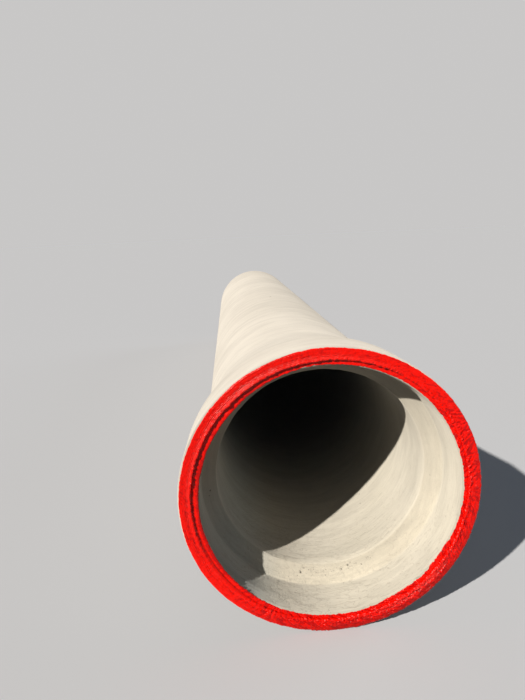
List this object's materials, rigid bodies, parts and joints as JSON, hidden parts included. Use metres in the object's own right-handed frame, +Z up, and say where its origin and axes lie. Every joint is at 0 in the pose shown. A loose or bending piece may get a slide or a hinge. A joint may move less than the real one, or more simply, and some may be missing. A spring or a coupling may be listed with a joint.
{
  "type": "concrete culvert pipe",
  "caption": "Long round concrete pipe with a flared bell socket at one end, a stepped spigot at the other, and a red painted mouth.",
  "frame": {"origin": "on the level ground, under the middle of the bounding box", "axes": "+Z up; the pipe lies along Y with its bell mouth towards -Y and its spigot towards +Y; its axis falls towards +Y by the resting tilt of 0.82 degrees, because the bell is wider than the barrel"},
  "size_m": [1.1854, 6.2115, 1.1853],
  "materials": {
    "concrete": "matt cast concrete, pale ivory grey",
    "red_paint": "thick glossy red paint brushed on by hand"
  },
  "bodies": {
    "root": {"pipe": "concrete"}
  },
  "joints": []
}
